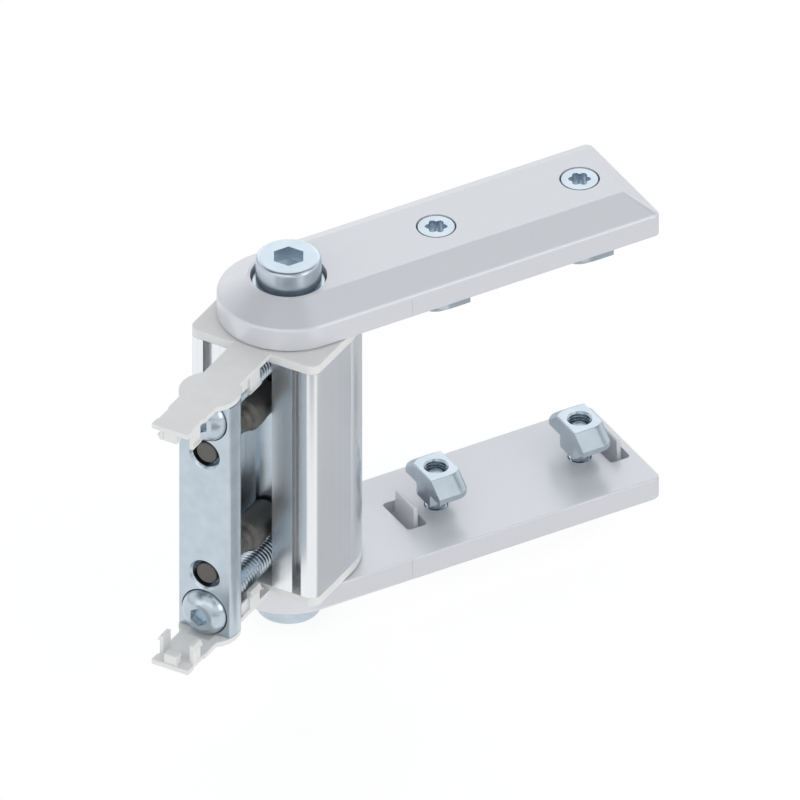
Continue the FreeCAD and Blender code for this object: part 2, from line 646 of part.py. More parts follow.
def locating_pin(z):
    """Stepped pin, held by the anchor bar, that centres the profile on its core bore."""
    seat = CORE_BORE / 2 - PIN_FIT
    step, end = PIN_STEP / 2, PIN_END / 2
    step_y = -PIN_SEAT_LENGTH
    end_y = step_y - PIN_STEP_LENGTH
    tip_y = DRAW_FRONT_Y + PIN_END_SINK
    profile = [(0, ANCHOR_BACK_Y), (PIN_SPIGOT / 2, ANCHOR_BACK_Y),
               (PIN_SPIGOT / 2, ANCHOR_FRONT_Y), (PIN_NECK / 2, ANCHOR_FRONT_Y),
               (PIN_NECK / 2, 0), (seat, 0), (seat, step_y + PIN_CONE),
               (step, step_y), (step, end_y + PIN_CONE), (end, end_y), (end, tip_y + BREAK),
               (end - BREAK, tip_y), (0, tip_y)]
    return pointing_back(turned(profile), 0, z)


def anchor_bar():
    """Threaded bar that sits behind the lips of the channel."""
    half = CHANNEL_INSIDE / 2 - SLIP
    top = COLUMN_Z - ANCHOR_END_GAP
    bar = block(-half, half, ANCHOR_FRONT_Y, ANCHOR_BACK_Y, -top, top)
    slot = ANCHOR_SLOT / 2
    bar = bar.cut(block(-slot, slot, ANCHOR_FRONT_Y - PAST, ANCHOR_FRONT_Y + ANCHOR_SLOT_DEPTH,
                        -top - PAST, top + PAST))
    front, back = ANCHOR_FRONT_Y - PAST, ANCHOR_BACK_Y + PAST
    for side in (-1, 1):
        bar = bar.cut(lengthways(DRAW_THREAD / 2 + RUN, front, back, side * DRAW_SCREW_Z))
        bar = bar.cut(lengthways(PIN_SPIGOT / 2 + RUN, front, back, side * PIN_Z))
    return bar


def write(name, shape):
    """One STEP file for each piece, with a line that says what it is."""
    solids = shape.Solids
    piece = solids[0] if len(solids) == 1 else Part.makeCompound(solids)
    piece.exportStep(os.path.join("parts", name + ".step"))
    box = piece.BoundBox
    print(f"{name}: {len(solids)} solid, valid {piece.isValid()}, volume {piece.Volume:.1f} mm3, "
          f"size {box.XLength:.1f} x {box.YLength:.1f} x {box.ZLength:.1f}")


def main():
    os.makedirs("parts", exist_ok=True)
    write("column_profile", column_profile())
    write("anchor_bar", anchor_bar())
    write("draw_bar", draw_bar())
    both_ends = {
        "cap": end_cap(),
        "cover_strip": cover_strip(),
        "pivot_bush": pivot_bush(),
        "pivot_washer": pivot_washer(),
        "pivot_screw": pivot_screw(),
    }
    for name, piece in both_ends.items():
        write(name + "_top", piece)
        write(name + "_bottom", turned_over(piece, Y_AXIS))
    for name, z in (("upper", 1), ("lower", -1)):
        write("draw_screw_" + name, draw_screw(z * DRAW_SCREW_Z))
        write("locating_pin_" + name, locating_pin(z * PIN_Z))
    arm_piece, screw_piece, nut_piece = arm(), arm_screw(), t_nut()
    for end, side in (("top", 1), ("bottom", -1)):
        write("arm_" + end, on_arm(arm_piece, side))
        for place, x in (("near", SCREW_NEAR), ("far", SCREW_FAR)):
            write(f"arm_screw_{end}_{place}", on_arm(screw_piece, side, x))
            write(f"t_nut_{end}_{place}", on_arm(nut_piece, side, x))


main()
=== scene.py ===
# %% [markdown]
# # A pivot joint for aluminium profiles
#
# This lesson dresses a measured model of a pivot joint. A column of extruded aluminium is drawn
# against the end of one profile by a round steel bar and two screws. Two cast arms swing about the
# column and grip a second profile between them with small nuts that swivel into its slots.
# The measured solids come first, as a fixed frame, and every new piece rides on one of its bodies.

# %% Load the measured model
import bmesh
import bpy
import json
import math
from mathutils import Matrix, Vector

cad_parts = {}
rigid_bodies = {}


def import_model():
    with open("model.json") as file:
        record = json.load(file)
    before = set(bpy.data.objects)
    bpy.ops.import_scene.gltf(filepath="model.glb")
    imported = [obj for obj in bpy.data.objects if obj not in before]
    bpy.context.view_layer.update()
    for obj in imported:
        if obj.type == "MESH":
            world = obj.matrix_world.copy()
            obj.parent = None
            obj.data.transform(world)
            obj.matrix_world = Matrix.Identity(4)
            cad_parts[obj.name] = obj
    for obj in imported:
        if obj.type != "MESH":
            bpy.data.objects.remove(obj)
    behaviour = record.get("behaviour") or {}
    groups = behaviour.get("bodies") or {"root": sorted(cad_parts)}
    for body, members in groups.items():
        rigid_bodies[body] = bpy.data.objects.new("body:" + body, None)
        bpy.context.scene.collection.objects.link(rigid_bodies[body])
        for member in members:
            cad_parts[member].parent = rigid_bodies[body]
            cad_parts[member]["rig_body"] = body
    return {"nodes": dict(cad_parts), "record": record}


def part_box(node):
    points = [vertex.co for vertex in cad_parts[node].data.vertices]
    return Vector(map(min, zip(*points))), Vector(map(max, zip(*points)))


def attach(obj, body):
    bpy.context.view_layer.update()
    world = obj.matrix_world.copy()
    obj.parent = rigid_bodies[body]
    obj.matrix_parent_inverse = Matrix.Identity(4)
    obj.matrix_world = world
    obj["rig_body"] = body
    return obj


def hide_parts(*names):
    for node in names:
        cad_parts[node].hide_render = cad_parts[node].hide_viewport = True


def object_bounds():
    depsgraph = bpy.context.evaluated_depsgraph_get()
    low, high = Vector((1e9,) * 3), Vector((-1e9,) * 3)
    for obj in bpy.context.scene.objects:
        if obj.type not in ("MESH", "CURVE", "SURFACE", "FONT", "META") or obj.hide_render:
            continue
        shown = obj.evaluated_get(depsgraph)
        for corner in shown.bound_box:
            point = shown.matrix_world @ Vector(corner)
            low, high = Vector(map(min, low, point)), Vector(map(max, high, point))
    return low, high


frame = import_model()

CAD_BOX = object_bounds()
MM = 0.001
SLOT_OF = {part["node"]: part["material_slot"] for part in frame["record"]["subparts"]}

# %% [markdown]
# Sizes and places are read from the frame, so a piece sits where the solid sits. The middle of a
# node's box gives the axis of a turned piece, and the arms' direction comes from their screws.
# Lengths in the code are millimetres, and MM turns them into Blender's metres.

# %% Places that the pieces share


def middle(node):
    """Centre of a node's box at rest."""
    low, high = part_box(node)
    return (Vector(low) + Vector(high)) / 2


PIVOT = middle("pivot_washer_top")
ARM_LINE = (middle("arm_screw_top_far") - middle("arm_screw_top_near")).normalized()
ARM_ANGLE = math.atan2(ARM_LINE.y, ARM_LINE.x)
print("pivot axis at", [round(v / MM, 2) for v in PIVOT], "mm, arms at", round(math.degrees(ARM_ANGLE), 1))

# %% [markdown]
# Every finish is a small tree of shader nodes. Colours are written as the hex values that a
# painter would pick on screen, and one function turns them into the linear light that Blender
# works in. Another adds a node with its settings and its links in one call.

# %% Helpers for finishes


def linear(hex_colour):
    """Linear colour of an sRGB hex value, for a colour socket."""
    channels = [int(hex_colour[start:start + 2], 16) / 255 for start in (1, 3, 5)]
    bright = [c / 12.92 if c <= 0.04045 else ((c + 0.055) / 1.055) ** 2.4 for c in channels]
    return (*bright, 1.0)


def add(tree, kind, settings=None, links=None, **choices):
    """One shader node: choices are its own options, settings its values, links its inputs."""
    node = tree.nodes.new(kind)
    for name, value in choices.items():
        setattr(node, name, value)
    for name, value in (settings or {}).items():
        node.inputs[name].default_value = value
    for name, source in (links or {}).items():
        tree.links.new(source, node.inputs[name])
    return node


def finish(name, settings):
    """New material with a Principled shader; returns it with its tree, shader and coordinates."""
    material = bpy.data.materials.new(name)
    material.use_nodes = True
    tree = material.node_tree
    tree.nodes.clear()
    shader = add(tree, "ShaderNodeBsdfPrincipled", settings)
    add(tree, "ShaderNodeOutputMaterial", links={"Surface": shader.outputs["BSDF"]})
    place = add(tree, "ShaderNodeTexCoord").outputs["Object"]
    return material, tree, shader, place


def per_metre(size_mm):
    """Texture scale that gives features of a size in millimetres."""
    return 1.0 / (size_mm * MM)


def shades(tree, source, dark, light, low=0.3, high=0.7):
    """Two colours mixed by a pattern."""
    ramp = add(tree, "ShaderNodeValToRGB", links={"Fac": source})
    ramp.color_ramp.elements[0].position = low
    ramp.color_ramp.elements[0].color = linear(dark)
    ramp.color_ramp.elements[1].position = high
    ramp.color_ramp.elements[1].color = linear(light)
    return ramp.outputs["Color"]


def raise_surface(tree, shader, height, strength, depth_mm):
    """Bump that bends the light as if a pattern stood out by a depth in millimetres."""
    bump = add(tree, "ShaderNodeBump", {"Strength": strength, "Distance": depth_mm * MM},
               {"Height": height})
    tree.links.new(bump.outputs["Normal"], shader.inputs["Normal"])


print("finish helpers ready")

# %% [markdown]
# **Natural anodised aluminium.** The column is an extrusion: the die leaves faint lines along its
# length, and the etch before anodising turns the metal satin. Noise stretched along Z draws the
# lines, in colour and in bump, and a finer noise gives the etch. A metal keeps the default IOR.

# %% Natural anodised aluminium


def anodised_aluminium():
    material, tree, shader, place = finish("natural_anodised_aluminium",
                                           {"Metallic": 1.0, "Roughness": 0.26})
    # Die lines 0.8 mm apart and some 200 mm long, coarser than real ones so that they show.
    along = add(tree, "ShaderNodeMapping", {"Scale": (1.0, 1.0, 0.004)}, {"Vector": place})
    lines = add(tree, "ShaderNodeTexNoise", {"Scale": per_metre(0.8), "Detail": 2.0},
                {"Vector": along.outputs["Vector"]})
    tree.links.new(shades(tree, lines.outputs["Fac"], "#E8EAEC", "#EEF0F2"),
                   shader.inputs["Base Color"])
    etch = add(tree, "ShaderNodeTexNoise", {"Scale": per_metre(0.15), "Detail": 1.0},
               {"Vector": place})
    both = add(tree, "ShaderNodeMath", links={0: lines.outputs["Fac"], 1: etch.outputs["Fac"]})
    raise_surface(tree, shader, both.outputs["Value"], 0.05, 0.02)
    return material


ANODISED = anodised_aluminium()
print("made", ANODISED.name)

# %% [markdown]
# **Light grey powder coat on cast aluminium.** The powder melts into a satin skin with a fine
# orange peel. Two noises, one of about a millimetre and one of a fifth, give the peel its bump,
# and a little mica in the powder gives it a metallic part.

# %% Light grey powder coat


def powder_coat():
    material, tree, shader, place = finish("light_grey_powder_coat",
                                           {"Metallic": 0.25, "Roughness": 0.30,
                                            "Specular IOR Level": 0.5})
    peel = add(tree, "ShaderNodeTexNoise", {"Scale": per_metre(0.9), "Detail": 2.0},
               {"Vector": place})
    mica = add(tree, "ShaderNodeTexNoise", {"Scale": per_metre(0.2), "Detail": 1.0},
               {"Vector": place})
    tree.links.new(shades(tree, mica.outputs["Fac"], "#D8D9DD", "#DDDEE2"),
                   shader.inputs["Base Color"])
    both = add(tree, "ShaderNodeMath", links={0: peel.outputs["Fac"], 1: mica.outputs["Fac"]})
    raise_surface(tree, shader, both.outputs["Value"], 0.06, 0.03)
    return material


COATED = powder_coat()
print("made", COATED.name)

# %% [markdown]
# **Moulded grey polyamide.** Caps and cover strips come from a spark-eroded mould, which leaves an
# even matt grain a quarter of a millimetre wide, and the melt leaves clouds a few millimetres wide.

# %% Moulded grey polyamide


def moulded_polyamide():
    material, tree, shader, place = finish("moulded_grey_polyamide",
                                           {"Roughness": 0.55, "Specular IOR Level": 0.4})
    flow = add(tree, "ShaderNodeTexNoise", {"Scale": per_metre(6.0), "Detail": 2.0},
               {"Vector": place})
    tree.links.new(shades(tree, flow.outputs["Fac"], "#E2E2E1", "#E7E7E6"),
                   shader.inputs["Base Color"])
    grain = add(tree, "ShaderNodeTexNoise", {"Scale": per_metre(0.25), "Detail": 2.0},
                {"Vector": place})
    raise_surface(tree, shader, grain.outputs["Fac"], 0.12, 0.02)
    return material


POLYAMIDE = moulded_polyamide()
print("made", POLYAMIDE.name)

# %% [markdown]
# **Bright zinc on steel.** Screws, nuts and the draw bar are electroplated. Zinc is a slightly blue
# mirror that clouds in patches, so its roughness and its colour drift over a few millimetres.

# %% Bright zinc on steel


def zinc_plated_steel():
    material, tree, shader, place = finish("bright_zinc_plated_steel", {"Metallic": 1.0})
    clouds = add(tree, "ShaderNodeTexNoise", {"Scale": per_metre(5.0), "Detail": 4.0},
                 {"Vector": place})
    tree.links.new(shades(tree, clouds.outputs["Fac"], "#BAC6CF", "#C6D1DA"),
                   shader.inputs["Base Color"])
    gloss = add(tree, "ShaderNodeMapRange", {"To Min": 0.20, "To Max": 0.30},
                {"Value": clouds.outputs["Fac"]})
    tree.links.new(gloss.outputs["Result"], shader.inputs["Roughness"])
    grain = add(tree, "ShaderNodeTexNoise", {"Scale": per_metre(0.3), "Detail": 2.0},
                {"Vector": place})
    raise_surface(tree, shader, grain.outputs["Fac"], 0.06, 0.02)
    return material


ZINC = zinc_plated_steel()
print("made", ZINC.name)

# %% [markdown]
# **Phosphated steel.** The locating pins are dark grey from their phosphate bath, with fine
# crystals that scatter the light.

# %% Phosphated steel


def phosphated_steel():
    material, tree, shader, place = finish("dark_phosphated_steel",
                                           {"Metallic": 0.7, "Roughness": 0.45})
    crystals = add(tree, "ShaderNodeTexNoise", {"Scale": per_metre(0.25), "Detail": 3.0},
                   {"Vector": place})
    tree.links.new(shades(tree, crystals.outputs["Fac"], "#5C5A58", "#6E6C69"),
                   shader.inputs["Base Color"])
    raise_surface(tree, shader, crystals.outputs["Fac"], 0.12, 0.02)
    return material


PHOSPHATED = phosphated_steel()
FINISHES = {"anodised_aluminium": ANODISED, "coated_aluminium": COATED, "grey_plastic": POLYAMIDE,
            "zinc_steel": ZINC, "dark_steel": PHOSPHATED}
print("made", PHOSPHATED.name)

# %% [markdown]
# A solid from the frame has knife edges, but every made thing has a small round that catches the
# light. So a solid is copied, its doubled corners are merged, its flat triangles are dissolved into
# faces, and its sharp edges are bevelled by a few tenths of a millimetre. The copy brings along the
# normals of the unbevelled solid, which are taken off. Weighted normals then keep the large faces
# flat, so that the shading turns only across the round.

# %% Copies of the solids
SMOOTHEST = 50       # degrees; faces that meet at more are shaded with a crease
SHARP = 30           # degrees; edges whose faces meet at more are bevelled
FLAT = 0.5           # degrees; faces that meet at less are one face
ONE_CORNER = 0.001   # mm; corners that are nearer to each other are one
NEAR = 0.05          # mm; a corner that is nearer to a line or a height is on it


def once(items):
    """Each item once and in the order given; a set's order differs from run to run."""
    return list(dict.fromkeys(items))


def piece(name, bm, node, crease=SMOOTHEST):
    """Turn a bmesh into a piece that stands for a node and rides on the node's body."""
    # A bevel can return its faces in another order on each run, so they are put in one order.
    bm.verts.index_update()
    count = len(bm.verts)
    bm.faces.sort(key=lambda face: face.verts[0].index * count + face.verts[1].index)
    mesh = bpy.data.meshes.new(name)
    bm.to_mesh(mesh)
    bm.free()
    if "custom_normal" in mesh.attributes:
        mesh.attributes.remove(mesh.attributes["custom_normal"])
    mesh.shade_smooth()
    mesh.set_sharp_from_angle(angle=math.radians(crease))
    mesh.materials.clear()
    mesh.materials.append(FINISHES[SLOT_OF[node]])
    made = bpy.data.objects.new(name, mesh)
    bpy.context.scene.collection.objects.link(made)
    flat = made.modifiers.new("flat_faces", "WEIGHTED_NORMAL")
    flat.keep_sharp = True
    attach(made, frame["nodes"][node]["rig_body"])
    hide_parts(node)
    print(name, "faces:", len(mesh.polygons))
    return made


def solid_copy(node):
    """A node's solid as clean faces: doubles merged and flat triangles joined."""
    bm = bmesh.new()
    bm.from_mesh(frame["nodes"][node].data)
    bmesh.ops.remove_doubles(bm, verts=bm.verts, dist=ONE_CORNER * MM)
    bmesh.ops.dissolve_limit(bm, angle_limit=math.radians(FLAT), verts=bm.verts, edges=bm.edges)
    return bm


def soften(bm, width):
    """Bevel the sharp edges by a width in millimetres."""
    sharp = [edge for edge in bm.edges
             if len(edge.link_faces) == 2 and edge.calc_face_angle() > math.radians(SHARP)]
    bmesh.ops.bevel(bm, geom=sharp, offset=width * MM, offset_type="OFFSET", affect="EDGES",
                    segments=2, profile=0.5, material=-1, clamp_overlap=True)


print("copies keep faces that meet at less than", FLAT, "degrees as one")

# %% [markdown]
# Two details are too fine for the solids. Each countersunk head sits in a narrow ring, whose floor
# is sloped down so that it reads as a dark gap. The column has a seam on each side, where the flat
# side meets the round back, and its rear wall faces forwards so that it catches the light.

# %% Pieces with soft edges
SOFT_EDGES = {"column_profile": 0.12, "draw_bar": 0.15, "arm_top": 0.3, "arm_bottom": 0.3,
              "cap_top": 0.15, "cap_bottom": 0.15, "cover_strip_top": 0.12,
              "cover_strip_bottom": 0.12, "pivot_washer_top": 0.1, "pivot_washer_bottom": 0.1,
              "locating_pin_upper": 0.1, "locating_pin_lower": 0.1}
RING_RADIUS, RING_FLOOR, RING_SUNK = 5.55, 0.4, 2.0
SEAM_WIDTH, SEAM_DEPTH, SEAM_SHIFT = 0.45, 0.35, 0.12
LEVEL = 0.9          # share of Z in the normal of a face that counts as level


def deepen_rings(bm, end):
    """Slope the narrow floor round each countersunk head, so that the ring reads as a gap."""
    side = 1 if end == "top" else -1
    face = max(vert.co.z * side for vert in bm.verts) * side
    for place in ("near", "far"):
        axis = middle(f"arm_screw_{end}_{place}").xy
        outer = [vert for vert in bm.verts
                 if abs((vert.co.xy - axis).length - RING_RADIUS * MM) < NEAR * MM
                 and abs(abs(vert.co.z - face) - RING_FLOOR * MM) < NEAR * MM]
        floor = once(part for vert in outer for part in vert.link_faces
                     if abs(part.normal.z) > LEVEL)
        bmesh.ops.triangulate(bm, faces=floor)
        bmesh.ops.translate(bm, verts=outer, vec=(0, 0, -side * RING_SUNK * MM))


def cut_seams(bm):
    """Fine grooves down the column, where each flat side meets the round back."""
    half = max(vert.co.x for vert in bm.verts)

    def on_seam(vert):
        return abs(abs(vert.co.x) - half) < NEAR * MM and abs(vert.co.y - PIVOT.y) < NEAR * MM

    lines = [edge for edge in bm.edges if all(on_seam(vert) for vert in edge.verts)]
    bmesh.ops.bevel(bm, geom=lines, offset=SEAM_WIDTH * MM, offset_type="OFFSET", affect="EDGES",
                    segments=2, profile=0.5, material=-1)
    for vert in bm.verts:
        if on_seam(vert):
            vert.co.x -= math.copysign(SEAM_DEPTH * MM, vert.co.x)
            vert.co.y += SEAM_SHIFT * MM


for node, width in SOFT_EDGES.items():
    bm = solid_copy(node)
    if node.startswith("arm_"):
        deepen_rings(bm, node.split("_")[1])
    soften(bm, width)
    if node == "column_profile":
        cut_seams(bm)
    piece(node + "_soft", bm, node)

# %% [markdown]
# A thread is one tooth carried round a helix. A metric tooth has flanks at 60 degrees, so its depth
# is 0.54 of the pitch, with a flat on its crest of an eighth of the pitch. Its outline is spun about
# Z and lifted by one pitch in each turn, the turns are merged where they meet, and two level planes
# cut off the loose ends. Two loops about Z are joined with triangles, in the order of their corners'
# angles, because the bridge operator can start at corners that don't face each other, and twist.

# %% Threads
TOOTH_DEPTH = 0.5413     # of the pitch
TOOTH = ((0, 0), (1 / 8, 0), (7 / 16, 1), (9 / 16, 1), (7 / 8, 0), (1, 0))
THREAD_STEPS = 32        # in a turn
TURN_GAP = 0.002         # mm; copies of a turn meet within this
CUT_GAP = 0.0001         # mm; a corner this near to the cutting plane is on it
EARLY = 0.01             # radians; a corner this little before X counts as past it


def open_edges(bm, low, high):
    """Edges with one face, between two heights in millimetres."""
    return [edge for edge in bm.edges if len(edge.link_faces) == 1
            and all(low * MM <= vert.co.z <= high * MM for vert in edge.verts)]


def turn_of(vert):
    """Angle about Z from 0 to a full turn; a corner on X counts as just past 0."""
    return (math.atan2(vert.co.y, vert.co.x) + EARLY) % math.tau


def zip_loops(bm, first, second):
    """Triangles between two loops of edges about Z, in the order of their corners' angles."""
    loops = [sorted(once(vert for edge in edges for vert in edge.verts), key=turn_of)
             for edges in (first, second)]
    at = [0, 0]
    while at[0] < len(loops[0]) or at[1] < len(loops[1]):
        here = [loop[index % len(loop)] for loop, index in zip(loops, at)]
        coming = [loop[(index + 1) % len(loop)] for loop, index in zip(loops, at)]
        laps = [(index + 1) // len(loop) for loop, index in zip(loops, at)]
        turns = [turn_of(vert) + lap * math.tau if index < len(loop) else math.inf
                 for vert, lap, loop, index in zip(coming, laps, loops, at)]
        ahead = turns.index(min(turns))
        bm.faces.new((*here, coming[ahead]))
        at[ahead] += 1


def thread(bm, inner, pitch, low, high, steps=THREAD_STEPS):
    """Threaded wall about Z, from an inner radius out to its crest; returns its corners."""
    kept = set(bm.verts)
    start = low - 2 * pitch
    outer = inner + TOOTH_DEPTH * pitch
    corners = [bm.verts.new(((inner + share * (outer - inner)) * MM, 0, (start + part * pitch) * MM))
               for part, share in TOOTH]
    edges = [bm.edges.new(pair) for pair in zip(corners, corners[1:])]
    bmesh.ops.spin(bm, geom=corners + edges, axis=(0, 0, 1), cent=(0, 0, 0),
                   dvec=(0, 0, pitch * MM / steps), angle=math.tau, steps=steps, use_merge=False)
    made = [vert for vert in bm.verts if vert not in kept]
    turn = made + once(item for vert in made for item in (*vert.link_edges, *vert.link_faces))
    for count in range(1, math.ceil((high - start) / pitch) + 1):
        copy = bmesh.ops.duplicate(bm, geom=turn)["geom"]
        bmesh.ops.translate(bm, vec=(0, 0, count * pitch * MM),
                            verts=[item for item in copy if isinstance(item, bmesh.types.BMVert)])
    made = [vert for vert in bm.verts if vert not in kept]
    bmesh.ops.remove_doubles(bm, verts=made, dist=TURN_GAP * MM)
    for height, outwards in ((low, -1), (high, 1)):
        made = [vert for vert in bm.verts if vert not in kept]
        wall = once(item for vert in made for item in (*vert.link_edges, *vert.link_faces))
        bmesh.ops.bisect_plane(bm, geom=made + wall, plane_co=(0, 0, height * MM),
                               plane_no=(0, 0, outwards), clear_outer=True, dist=CUT_GAP * MM)
    return [vert for vert in bm.verts if vert not in kept]


print("a tooth is", TOOTH_DEPTH, "of its pitch deep")

# %% [markdown]
# A screw's head is turned, and its socket is punched in. The outline of the head is spun about Z,
# the rim of the socket is a loop with as many corners, and the flat face is laid between the two.
# The rim is then pulled down for the socket's walls, and the floor is closed with a shallow cone, as
# the punch leaves it. The shank's thread is joined to the neck under the head.

# %% Heads and sockets
STEPS = 48
JOIN = 0.2             # mm between the neck and the first of the thread
TIP = 1.0              # mm cut off the thread at a screw's end, at 45 degrees
SCREW_CREASE = 22      # degrees; the facets of a round meet at less, and those of a socket at more
LOBE_COUNT = 6
LOBE_FULLNESS = 0.6    # power of the lobes' wave; the nearer to 0, the fuller they are


def spun(bm, outline):
    """Surface of a turned outline of (radius, height) points."""
    corners = [bm.verts.new((radius * MM, 0, height * MM)) for radius, height in outline]
    edges = [bm.edges.new(pair) for pair in zip(corners, corners[1:])]
    bmesh.ops.spin(bm, geom=corners + edges, axis=(0, 0, 1), cent=(0, 0, 0), angle=math.tau,
                   steps=STEPS, use_merge=True)


def loop_edges(corners):
    """The edges of a loop that is given by its corners."""
    return once(edge for vert in corners for edge in vert.link_edges)


def hexagon_rim(bm, across_flats, height, turn):
    """Loop of a hexagonal socket; unturned, it has a corner on Y."""
    radius = across_flats / 2 / math.cos(math.pi / 6)
    made = bmesh.ops.create_circle(bm, radius=radius * MM, segments=6,
                                   matrix=Matrix.Translation((0, 0, height * MM))
                                   @ Matrix.Rotation(math.radians(turn), 4, "Z"))["verts"]
    cut = bmesh.ops.subdivide_edges(bm, edges=loop_edges(made), cuts=STEPS // 6 - 1)
    return [edge for edge in cut["geom"] if isinstance(edge, bmesh.types.BMEdge)]


def lobed_rim(bm, over_tips, over_roots, height):
    """Loop of a six-lobed socket."""
    made = bmesh.ops.create_circle(bm, radius=MM, segments=STEPS,
                                   matrix=Matrix.Translation((0, 0, height * MM)))["verts"]
    for vert in made:
        angle = math.atan2(vert.co.y, vert.co.x)
        swell = (0.5 + 0.5 * math.cos(LOBE_COUNT * angle)) ** LOBE_FULLNESS
        vert.co.xy *= over_roots / 2 + (over_tips - over_roots) / 2 * swell
    return loop_edges(made)


def punch(bm, rim, face_height, depth, cone):
    """Join a socket's rim to the head's open face, and sink its walls and floor."""
    edge_of_face = [edge for edge in open_edges(bm, face_height - ONE_CORNER, face_height + ONE_CORNER)
                    if edge not in rim]
    zip_loops(bm, edge_of_face, rim)
    walls = bmesh.ops.extrude_edge_only(bm, edges=rim)["geom"]
    sunk = [item for item in walls if isinstance(item, bmesh.types.BMVert)]
    bmesh.ops.translate(bm, verts=sunk, vec=(0, 0, -depth * MM))
    floor_rim = [item for item in walls if isinstance(item, bmesh.types.BMEdge)]
    floor = bmesh.ops.holes_fill(bm, edges=floor_rim, sides=0)["faces"]
    tip = bmesh.ops.poke(bm, faces=floor)["verts"]
    bmesh.ops.translate(bm, verts=tip, vec=(0, 0, -cone * MM))


def threaded_shank(bm, radius, pitch, neck_height, length):
    """Thread below a neck, with a cone at its end."""
    root = radius - TOOTH_DEPTH * pitch
    end = -length
    made = thread(bm, root, pitch, end, neck_height - JOIN)
    for vert in made:
        limit = (radius - TIP) * MM + vert.co.z - end * MM
        if vert.co.xy.length > limit:
            vert.co.xy *= limit / vert.co.xy.length
    bmesh.ops.holes_fill(bm, edges=open_edges(bm, end - JOIN, end + JOIN / 2), sides=0)
    zip_loops(bm, open_edges(bm, neck_height - JOIN / 2, neck_height + JOIN / 2),
              open_edges(bm, neck_height - 1.5 * JOIN, neck_height - JOIN / 2))


def screw_piece(name, bm, node, place):
    """Close the screw, put it in its place and make it a piece."""
    bmesh.ops.recalc_face_normals(bm, faces=bm.faces)
    loose = sum(1 for edge in bm.edges if len(edge.link_faces) != 2)
    bmesh.ops.transform(bm, matrix=place, verts=bm.verts)
    piece(name, bm, node, crease=SCREW_CREASE)
    print("   open edges:", loose)


print("a head has", STEPS, "steps")

# %% [markdown]
# **Draw screws.** Two M8 button head screws hold the draw bar. The dome of a button head is part of
# a circle that ends in a small flat round the socket, so it is written as an arc.

# %% Draw screws
DRAW_THREAD = (4.0, 1.25)                # radius and pitch
DRAW_LENGTH = 35.0
DRAW_RIM = (7.0, 0.3)                    # radius and height of the head's edge
DRAW_FACE = (4.0, 4.4)                   # radius and height of the flat round the socket
DOME_CENTRE = (2.24, 0.0)                # radius and height
DOME_STEPS = 10
DRAW_HEX, DRAW_HEX_DEPTH, DRAW_CONE = 5.0, 2.6, 0.5
for place in ("upper", "lower"):
    node = "draw_screw_" + place
    neck = DRAW_THREAD[0] - TOOTH_DEPTH * DRAW_THREAD[1]
    dome = math.dist(DOME_CENTRE, DRAW_FACE)
    first = math.acos((DRAW_FACE[0] - DOME_CENTRE[0]) / dome)
    arc = [first * (1 - step / DOME_STEPS) for step in range(DOME_STEPS)]
    outline = [(DOME_CENTRE[0] + dome * math.cos(angle), dome * math.sin(angle)) for angle in arc]
    outline = outline + [DRAW_RIM, (DRAW_RIM[0], 0.0), (neck, 0.0), (neck, -JOIN)]
    bm = bmesh.new()
    spun(bm, outline)
    rim = hexagon_rim(bm, DRAW_HEX, DRAW_FACE[1], 0)
    punch(bm, rim, DRAW_FACE[1], DRAW_HEX_DEPTH, DRAW_CONE)
    threaded_shank(bm, *DRAW_THREAD, -JOIN, DRAW_LENGTH)
    centre = middle(node)
    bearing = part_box(node)[0].y + DRAW_FACE[1] * MM
    lay = Matrix.Translation((centre.x, bearing, centre.z)) @ Matrix.Rotation(math.pi / 2, 4, "X")
    screw_piece(node + "_threaded", bm, node, lay)

# %% [markdown]
# **Pivot screws.** An M12 screw with a low head holds each arm. Its top edge is rounded by more than
# a millimetre, and the round catches the light as a bright band.

# %% Pivot screws
PIVOT_THREAD = (6.0, 1.75)               # radius and pitch
PIVOT_LENGTH = 28.0
PIVOT_HEAD = (9.0, 8.0)                  # radius and height
PIVOT_ROUND, ROUND_STEPS = 1.2, 8
PIVOT_BREAK = 0.15
PIVOT_HEX, PIVOT_HEX_DEPTH, PIVOT_CONE = 8.0, 3.9, 0.3
for end, side in (("top", 1), ("bottom", -1)):
    node = "pivot_screw_" + end
    radius, height = PIVOT_HEAD
    neck = PIVOT_THREAD[0] - TOOTH_DEPTH * PIVOT_THREAD[1]
    arc = [math.pi / 2 * (1 - step / ROUND_STEPS) for step in range(ROUND_STEPS + 1)]
    outline = [(radius - PIVOT_ROUND + PIVOT_ROUND * math.cos(angle),
                height - PIVOT_ROUND + PIVOT_ROUND * math.sin(angle)) for angle in arc]
    outline = outline + [(radius, PIVOT_BREAK), (radius - PIVOT_BREAK, 0.0), (neck, 0.0),
                         (neck, -JOIN)]
    bm = bmesh.new()
    spun(bm, outline)
    rim = hexagon_rim(bm, PIVOT_HEX, height, 90)
    punch(bm, rim, height, PIVOT_HEX_DEPTH, PIVOT_CONE)
    threaded_shank(bm, *PIVOT_THREAD, -JOIN, PIVOT_LENGTH)
    low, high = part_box(node)
    bearing = high.z - height * MM if side > 0 else low.z + height * MM
    turn = Matrix.Rotation(0 if side > 0 else math.pi, 4, "X")
    screw_piece(node + "_threaded", bm, node, Matrix.Translation((PIVOT.x, PIVOT.y, bearing)) @ turn)

# %% [markdown]
# **Arm screws.** Four M6 countersunk screws with a six-lobed socket hold the nuts. Below its short
# straight rim the head is a 90 degree cone that runs down to the shank.

